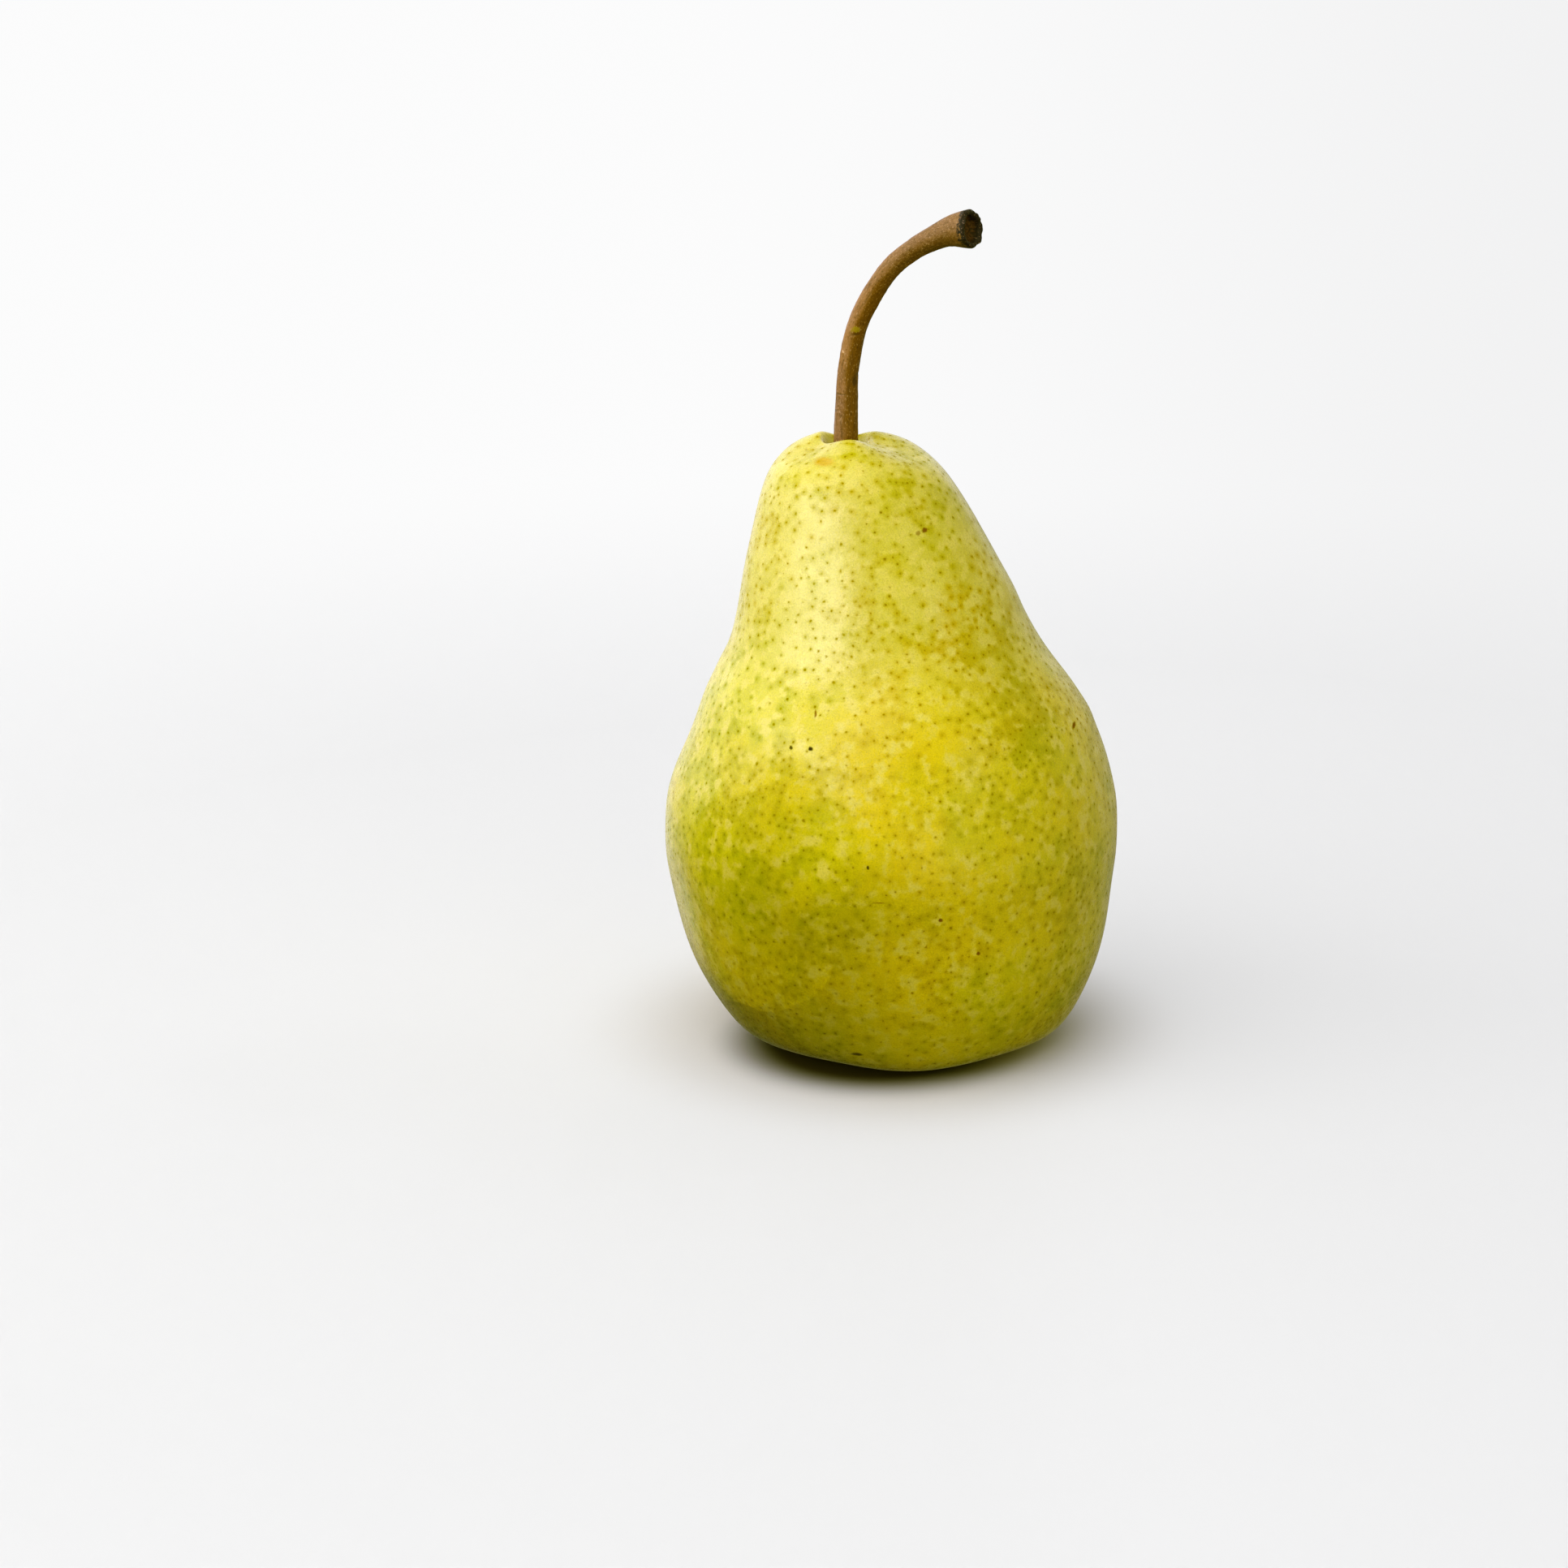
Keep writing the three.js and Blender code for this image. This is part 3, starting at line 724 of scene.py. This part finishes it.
# ---- Calyx ----
SEPALS, SEPAL_REACH, SEPAL_ROOT, SEPAL_HALF_WIDTH, SEPAL_THICKNESS = 5, 6.0, 1.2, 1.9, 0.22
TIP_DROOP, EDGE_DROOP, CRUMPLED, FOLD_DROOP, FOLD_WIDTH = 0.35, 0.30, 0.10, 0.22, 0.16
TUBE_RADIUS, TUBE_WALL, TUBE_DEPTH = 1.75, 0.45, 0.95
# The tube's section from outside inward: steps of its wall out from its radius, and share of its depth.
TUBE_SECTION = [
    (1, 0.0), (0.9, 0.5), (0.5, 0.9), (0, 1), (-0.5, 0.92), (-0.8, 0.7), (-1.0, 0.3), (-2.2, 0.1),
    (-3.2, 0.12),
]
STAMENS, STAMEN_RADIUS, ANTHER_RADIUS = 20, 0.09, 0.19
CALYX_CLEARANCE = 0.12  # what it keeps from the basin
BASIN_SHARE = 0.16  # how far along the outline the basin reaches, at least
LEAF_ROWS, LEAF_COLUMNS = 34, 18
THREAD_SIDES, THREAD_RINGS = 8, 14
TUBE_SIDES = 96
HUSK_DARK, HUSK_BROWN = (0.060, 0.030, 0.014), (0.150, 0.085, 0.040)
HUSK_FIBRE, HUSK_DOWN = (0.022, 0.012, 0.007), (0.34, 0.26, 0.17)


def basin_height(radius):
    """The height of the basin's surface at each distance from the core line."""
    across, height = outline(np.linspace(0, BASIN_SHARE, 400))
    return np.interp(radius, across, height)


def in_basin(radius, angle, below):
    """The point at a distance and angle from the core line, the given depth below the basin's surface.

    The basin opens downward, so what is below its surface is in the open.
    """
    height = basin_height(radius)
    x, y = core(height)
    return np.stack([x + radius * np.cos(angle), y + radius * np.sin(angle), height - below], axis=-1)


def joined(pieces):
    """One set of vertices and faces from several."""
    vertices, faces, count = [], [], 0
    for points, corners in pieces:
        vertices.append(points)
        faces += [tuple(int(i) + count for i in face) for face in corners]
        count += len(points)
    return np.vstack(vertices), faces


def sepal(facing, rng):
    """A dried sepal, thin and closed, that lies on the basin and curls down at its tip and edges."""
    curl, twist, narrow = rng.uniform(0.5, 1.0), rng.uniform(-0.35, 0.35), rng.uniform(0.8, 1.0)
    along = np.linspace(0, 1, LEAF_ROWS)[:, None]
    across = np.linspace(-1, 1, LEAF_COLUMNS)[None]
    width = SEPAL_HALF_WIDTH * narrow * (1 - along**1.6) ** 0.8 * (0.72 + 0.5 * along) + 0.05
    radius = SEPAL_ROOT + (SEPAL_REACH * narrow - SEPAL_ROOT) * along + 0 * across
    angle = facing + twist * along**2 + across * width / np.maximum(radius, 1)
    lying = in_basin(radius.ravel(), angle.ravel(), 0)
    crumple = value_noise(lying, 1.1, SEED + 20 + int(facing * 3)).reshape(LEAF_ROWS, LEAF_COLUMNS)
    lying = lying.reshape(LEAF_ROWS, LEAF_COLUMNS, 3)
    fold = FOLD_DROOP * np.exp(-((across / FOLD_WIDTH) ** 2)) * (1 - along)
    droop = curl * (TIP_DROOP * along**3 + EDGE_DROOP * across**2 * along)
    hang = np.maximum(CALYX_CLEARANCE + 0.10 + droop + fold + CRUMPLED * crumple, CALYX_CLEARANCE)
    down = np.array([0, 0, -1])
    inner = lying + hang[..., None] * down
    outer = lying + (hang + SEPAL_THICKNESS)[..., None] * down
    rings = np.concatenate([inner, outer[:, ::-1]], axis=1)
    return closed_skin(rings, rings[0].mean(axis=0), rings[-1].mean(axis=0))


def thread(line, radius):
    """A closed tube along a line of points, with a radius at each."""
    aside = (0.31, 0.95, 0.05)  # a way that no stamen runs along
    tangent = np.gradient(line, axis=0)
    tangent /= np.linalg.norm(tangent, axis=1)[:, None]
    across = np.cross(tangent, aside)
    across /= np.linalg.norm(across, axis=1)[:, None]
    up = np.cross(across, tangent)
    angle = 2 * math.pi * np.arange(THREAD_SIDES) / THREAD_SIDES
    spoke = np.cos(angle)[None, :, None] * across[:, None] + np.sin(angle)[None, :, None] * up[:, None]
    return closed_skin(line[:, None] + radius[:, None, None] * spoke, line[0], line[-1])


def stamen(angle, rng):
    """A withered stamen that leans in over the tube from its rim, with its anther at the end."""
    reach, drop, swing = rng.uniform(0.9, 1.7), rng.uniform(0.2, 0.75), rng.uniform(-0.7, 0.7)
    t = np.linspace(0, 1, THREAD_RINGS)
    radius = TUBE_RADIUS - 0.1 - reach * t**1.3 * 0.85
    below = CALYX_CLEARANCE + TUBE_DEPTH - 0.35 + drop * np.sin(t * 2.2)
    line = in_basin(np.maximum(radius, 0.12), angle + swing * t, below)
    anther = np.exp(-(((t - 0.93) / 0.07) ** 2))
    return thread(line, STAMEN_RADIUS * (1 - 0.3 * t) + (ANTHER_RADIUS - STAMEN_RADIUS) * anther)


def tube():
    """The stub of the flower's tube: a rough ring round a hollow, standing down out of the basin."""
    angle = 2 * math.pi * np.arange(TUBE_SIDES) / TUBE_SIDES
    rings = []
    for out, deep in reversed(TUBE_SECTION):
        radius = TUBE_RADIUS + out * TUBE_WALL
        rough = value_noise(in_basin(np.full(TUBE_SIDES, radius), angle, 0), 0.7, SEED + 31)
        below = CALYX_CLEARANCE + TUBE_DEPTH * deep * (0.85 + 0.1 * rough)
        rings.append(in_basin(radius + 0.08 * rough, angle, below))
    return closed_skin(np.array(rings), rings[0].mean(axis=0), rings[-1].mean(axis=0))


def husk_material():
    g = Graph(bpy.data.materials.new("calyx_husk"))
    place = g.place_mm()
    fibre = g.noise(place, 0.25, detail=4.0, roughness=0.65)
    blotch = g.noise(place, 1.2, detail=3.0)
    fuzz = g.noise(place, 0.09, detail=2.0, roughness=0.7)
    colour = g.mix(g.ramp(blotch, 0.35, 0.65), HUSK_DARK, HUSK_BROWN)
    colour = g.mix(g.ramp(fibre, 0.40, 0.72, 0.0, 0.7), colour, HUSK_FIBRE)
    colour = g.mix(g.ramp(fuzz, 0.60, 0.75, 0.0, 0.6), colour, HUSK_DOWN)
    g.feed(g.shader.inputs["Base Color"], colour)
    g.feed(g.shader.inputs["Roughness"], g.ramp(fibre, 0.3, 0.7, 0.75, 0.95))
    g.shader.inputs["Specular IOR Level"].default_value = 0.25
    relief = g.math("ADD", fibre, g.math("MULTIPLY", fuzz, 0.4))
    g.bump(relief, strength=0.7, depth=0.12 * MM)
    return g.owner


def make_calyx():
    rng = np.random.default_rng(SEED + 4)
    leaves = [sepal(2 * math.pi * (i + 0.5) / SEPALS, rng) for i in range(SEPALS)]
    stamens = [stamen(2 * math.pi * (i + rng.uniform(-0.3, 0.3)) / STAMENS, rng) for i in range(STAMENS)]
    vertices, faces = joined([*leaves, tube(), *stamens])
    piece = make_piece("pear_calyx_husk", vertices + SHIFT, faces, "pear_calyx")
    piece.data.materials.append(husk_material())
    return piece


# ---- Camera, floor and light, in metres ----
CAMERA_DISTANCE, CAMERA_HEIGHT, LENS_MM = 480 * MM, 171.2 * MM, 78.82  # fitted to the photograph's outline
CAMERA_YAW, CAMERA_PITCH = math.radians(-1.861), math.radians(15.624)
# What lights the pear besides the softboxes: in front, behind, straight below, and low all round.
FRONT_GLOW, BACK_GLOW, NADIR_GLOW, FLOOR_GLOW = 0.36, 0.7, 0.06, 0.53
HALF_PEAR_AT, HALF_PEAR_GLOW = (-50, -15), 0.05  # azimuth and elevation of the half pear that is left out
LIT_FLOOR_AT, LIT_FLOOR_GLOW = (-150, -7), 1.25  # where the window lights the floor behind
PALE_ACROSS, PALE = (-0.08, 0.25), (0.970, 0.880)  # the studio's glow to the camera, from the left to the right: painted light, brighter on the left where the window is
LIGHT_DISTANCE = 2.5
# Bodies that shade the pear at the front left: centre and half its size along each axis.
FLAGS = [
    ((-0.040, -0.046, 0.028), (0.032, 0.024, 0.036)), ((-0.074, -0.024, 0.022), (0.038, 0.024, 0.030)),
]
FLAG_COLOUR = (0.35, 0.32, 0.03, 1)
FLOOR_RADIUS, FLOOR_SIDES, FLOOR_SINK = 6, 96, 0.02 * MM
FLOOR_WHITE = (0.60, 0.60, 0.60)
# A painted shadow on the floor round the pear's base: its middle in metres, its dark core, and its warm grey
# edge, as the shade and the pear's bounced light would make it.
PAINTED_SHADOW_AT, PAINTED_SHADOW_DARK, PAINTED_SHADOW_PALE = (-0.0025, -0.0080, 0.0), (0.014, 0.009, 0.005), (0.50, 0.475, 0.44)
BLUE_CURVE = [(0.03, 0.008), (0.08, 0.045), (0.18, 0.15), (0.35, 0.345)]


def make_camera():
    data = bpy.data.cameras.new("camera")
    data.lens = LENS_MM
    data.clip_start, data.clip_end = 0.05, 60
    camera = bpy.data.objects.new("camera", data)
    camera.location = (0, -CAMERA_DISTANCE, CAMERA_HEIGHT)
    camera.rotation_euler = (math.pi / 2 - CAMERA_PITCH, 0, -CAMERA_YAW)
    bpy.context.scene.collection.objects.link(camera)
    bpy.context.scene.camera = camera


def direction(azimuth, elevation):
    """Unit vector from the pear, azimuth in degrees round from the front (-Y) towards +X."""
    a, e = math.radians(azimuth), math.radians(elevation)
    return Vector((math.cos(e) * math.sin(a), -math.cos(e) * math.cos(a), math.sin(e)))


def group(name, members):
    """A collection that only the lights refer to."""
    made = bpy.data.collections.new(name)
    for member in members:
        made.objects.link(member)
    return made


def softbox(
    on, name, azimuth, elevation, wide, high, radiance, roll=0, oval=False, lights=True, mirrored=True
):
    """A soft light `wide` by `high` degrees as seen from the pear; a radiance of 1 shows as white.

    It may light, be mirrored or both. It is placed twice: once for the pear, which the flags shade, and once
    for the floor, which only the pear shades.
    """
    data = bpy.data.lights.new(name, "AREA")
    data.shape = "ELLIPSE" if oval else "RECTANGLE"
    data.size = 2 * LIGHT_DISTANCE * math.tan(math.radians(wide / 2))
    data.size_y = 2 * LIGHT_DISTANCE * math.tan(math.radians(high / 2))
    data.energy = radiance * math.pi * data.size * data.size_y * (math.pi / 4 if oval else 1)
    towards = direction(azimuth, elevation)
    turned = towards.to_track_quat("Z", "Y") @ Quaternion((0, 0, 1), math.radians(roll))
    for receivers, blockers in ((on["pear"], None), (on["floor"], on["pear"])):
        light = bpy.data.objects.new(name, data)
        light.location = Vector((0, 0, 0.05)) + towards * LIGHT_DISTANCE
        light.rotation_euler = turned.to_euler()
        light.visible_camera, light.visible_diffuse, light.visible_glossy = False, lights, mirrored
        light.light_linking.receiver_collection = receivers
        light.light_linking.blocker_collection = blockers
        bpy.context.scene.collection.objects.link(light)


def make_flags():
    """Dull bodies, hidden from the camera, that shade the pear where the photograph's half pear does."""
    g = Graph(bpy.data.materials.new("flag"))
    g.shader.inputs["Base Color"].default_value = FLAG_COLOUR
    g.shader.inputs["Roughness"].default_value = 0.9
    for i, (place, size) in enumerate(FLAGS):
        mesh = bpy.data.meshes.new(f"flag_{i}")
        form = bmesh.new()
        bmesh.ops.create_uvsphere(form, u_segments=32, v_segments=16, radius=1)
        form.to_mesh(mesh)
        form.free()
        mesh.materials.append(g.owner)
        flag = bpy.data.objects.new(f"flag_{i}", mesh)
        flag.location, flag.scale = place, size
        flag.visible_camera = flag.visible_diffuse = False
        bpy.context.scene.collection.objects.link(flag)


def make_floor():
    """A white floor that takes the pear's shadow close by, with a painted shadow round the base, and glows
    evenly further out.
    """
    turns = [2 * math.pi * i / FLOOR_SIDES for i in range(FLOOR_SIDES)]
    ring = [(FLOOR_RADIUS * math.cos(turn), FLOOR_RADIUS * math.sin(turn), -FLOOR_SINK) for turn in turns]
    mesh = bpy.data.meshes.new("floor")
    mesh.from_pydata(ring, [], [tuple(range(FLOOR_SIDES))])
    mesh.materials.append(floor_material())
    floor = bpy.data.objects.new("floor", mesh)
    bpy.context.scene.collection.objects.link(floor)
    floor.visible_diffuse = floor.visible_glossy = False
    return floor


def floor_material():
    g = Graph(bpy.data.materials.new("floor"))
    g.shader.inputs["Roughness"].default_value = 0.8
    g.shader.inputs["Specular IOR Level"].default_value = 0.2
    place = g.node("TexCoord").outputs["Object"]
    away = g.vector("LENGTH", place)
    across = g.node("SeparateXYZ", {0: place}).outputs["X"]
    # Painted shadow: the floor is made dark and warm round the pear's base.
    painted_shadow = g.ramp(g.vector("DISTANCE", place, PAINTED_SHADOW_AT), 0.0135, 0.0250)
    under = g.mix(painted_shadow, PAINTED_SHADOW_DARK, PAINTED_SHADOW_PALE)
    g.feed(g.shader.inputs["Base Color"], g.mix(g.ramp(away, 0.024, 0.050), under, FLOOR_WHITE))
    fan = g.math("DIVIDE", across, g.math("ADD", away, 0.4))
    glow = g.node("Emission", {"Color": (1.0, 1.0, 1.0), "Strength": g.ramp(fan, *PALE_ACROSS, *PALE)})
    # Close to the pear the glow lifts the floor's shadow, more so to the right: painted light.
    even = g.math("MULTIPLY", g.ramp(away, 0.021, 0.045), g.ramp(across, 0.0, 0.035, 0.25, 0.45))
    even = g.math("MAXIMUM", even, g.ramp(away, 0.05, 0.45))
    blend = g.node("MixShader", {0: even, 1: g.shader.outputs[0], 2: glow.outputs[0]})
    g.feed(g.tree.nodes["Material Output"].inputs["Surface"], blend.outputs[0])
    return g.owner


def make_world():
    """Pale air to the camera. To the pear, a bright wall behind, a dimmer room in front and a floor's glow.

    It is dark towards the half pear that is left out, and bright towards the floor that the window lights.
    """
    world = bpy.data.worlds.new("studio")
    bpy.context.scene.world = world
    world.cycles.sampling_method = "NONE"
    g = Graph(world)
    outward = g.node("TexCoord").outputs["Generated"]
    x, y, z = g.node("SeparateXYZ", {0: outward}).outputs
    above = g.ramp(y, -0.3, 0.7, FRONT_GLOW, BACK_GLOW)
    below = g.ramp(z, -0.75, -0.05, NADIR_GLOW, FLOOR_GLOW)
    around = g.ramp(z, -0.06, 0.03, below, above)
    half_pear = g.vector("DOT_PRODUCT", outward, direction(*HALF_PEAR_AT))
    around = g.ramp(half_pear, 0.35, 0.85, around, HALF_PEAR_GLOW)
    lit_floor = g.vector("DOT_PRODUCT", outward, direction(*LIT_FLOOR_AT))
    around = g.ramp(lit_floor, 0.92, 0.99, around, LIT_FLOOR_GLOW)
    to_camera = g.node("LightPath").outputs["Is Camera Ray"]
    pick = g.node("Mix", {0: to_camera, 2: around, 3: g.ramp(x, *PALE_ACROSS, *PALE)})
    g.feed(g.tree.nodes["Background"].inputs["Color"], pick.outputs[0])


def light_it(pieces, floor):
    on = dict(pear=group("pear", pieces), floor=group("floor", [floor]))
    softbox(on, "window", -54, 31, 84, 38, 3.7, roll=8, mirrored=False)
    softbox(on, "window_behind", -122, 14, 50, 26, 1.6, mirrored=False)
    softbox(on, "behind", 180, 18, 60, 30, 0.6)
    softbox(on, "fill", 23, 2, 48, 36, 2.9, oval=True, mirrored=False)
    softbox(on, "overhead", -50, 64, 70, 30, 1.5)
    softbox(on, "ceiling", 20, 80, 50, 40, 0.6)
    softbox(on, "sheen", -62, 22, 68, 38, 2.05, lights=False)
    softbox(on, "sheen_right", -52, 22, 48, 34, 2.6, lights=False)
    softbox(on, "sheen_edge", -39, 22, 22, 30, 1.8, lights=False)
    softbox(on, "sheen_low", -106, 3, 44, 14, 0.8, lights=False)
    softbox(on, "sheen_behind", -127, 20, 50, 30, 1.0, lights=False)
    softbox(on, "sheen_fill", 49, 26, 15, 17, 2.4, oval=True, lights=False)


def grade():
    """The photograph's saturated grade: plain colours, with the deep blues drawn down."""
    view = bpy.context.scene.view_settings
    view.view_transform = "Standard"
    view.use_curve_mapping = True
    blues = view.curve_mapping.curves[2]
    for place, value in BLUE_CURVE:
        blues.points.new(place, value)
    view.curve_mapping.update()


make_camera()
make_world()
grade()
make_flags()
light_it([make_skin(), make_stalk(), make_calyx()], make_floor())
